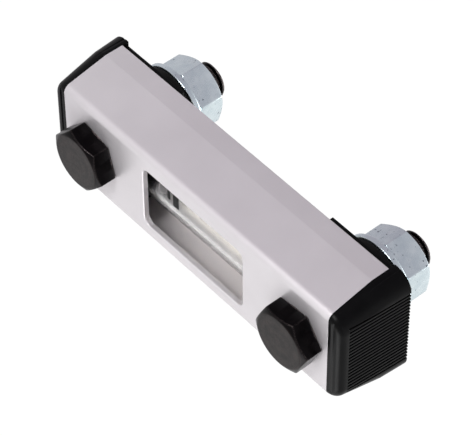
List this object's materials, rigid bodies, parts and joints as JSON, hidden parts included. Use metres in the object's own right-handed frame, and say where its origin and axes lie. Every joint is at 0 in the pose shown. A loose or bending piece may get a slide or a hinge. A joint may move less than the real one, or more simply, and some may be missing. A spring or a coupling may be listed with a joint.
{
  "type": "tank level gauge",
  "caption": "Tank level gauge: a channel cover with a window over a clear sight tube, clamped by hollow bolts through end blocks with seals, washers and nuts.",
  "frame": {"origin": "midway between the two bolts, on the face that the end blocks put against the tank wall", "axes": "+Z along the gauge from the lower bolt to the upper one, -Y out of the window to the viewer, +Y into the tank, +X across to the right as seen from the front"},
  "size_m": [0.034, 0.045, 0.109],
  "materials": {
    "anodised_aluminium": "satin clear anodising over an extruded section",
    "black_moulding": "black glass-filled moulding, semi-matt",
    "black_steel": "black oxide, lightly oiled",
    "zinc_plate": "bright blue-white zinc plating",
    "black_rubber": "moulded nitrile rubber",
    "clear_tube": "clear polished tube",
    "white_reflector": "white sheet with dark level lines"
  },
  "bodies": {
    "root": {"cover": "anodised_aluminium", "lower_end_block": "black_moulding", "lower_gasket": "black_rubber", "lower_head_seal": "black_rubber", "lower_hollow_bolt": "black_steel", "lower_nut": "zinc_plate", "lower_tube_seal": "black_rubber", "lower_wall_seal": "black_rubber", "lower_washer": "zinc_plate", "reflector": "white_reflector", "sight_tube": "clear_tube", "upper_end_block": "black_moulding", "upper_gasket": "black_rubber", "upper_head_seal": "black_rubber", "upper_hollow_bolt": "black_steel", "upper_nut": "zinc_plate", "upper_tube_seal": "black_rubber", "upper_wall_seal": "black_rubber", "upper_washer": "zinc_plate"}
  },
  "joints": []
}
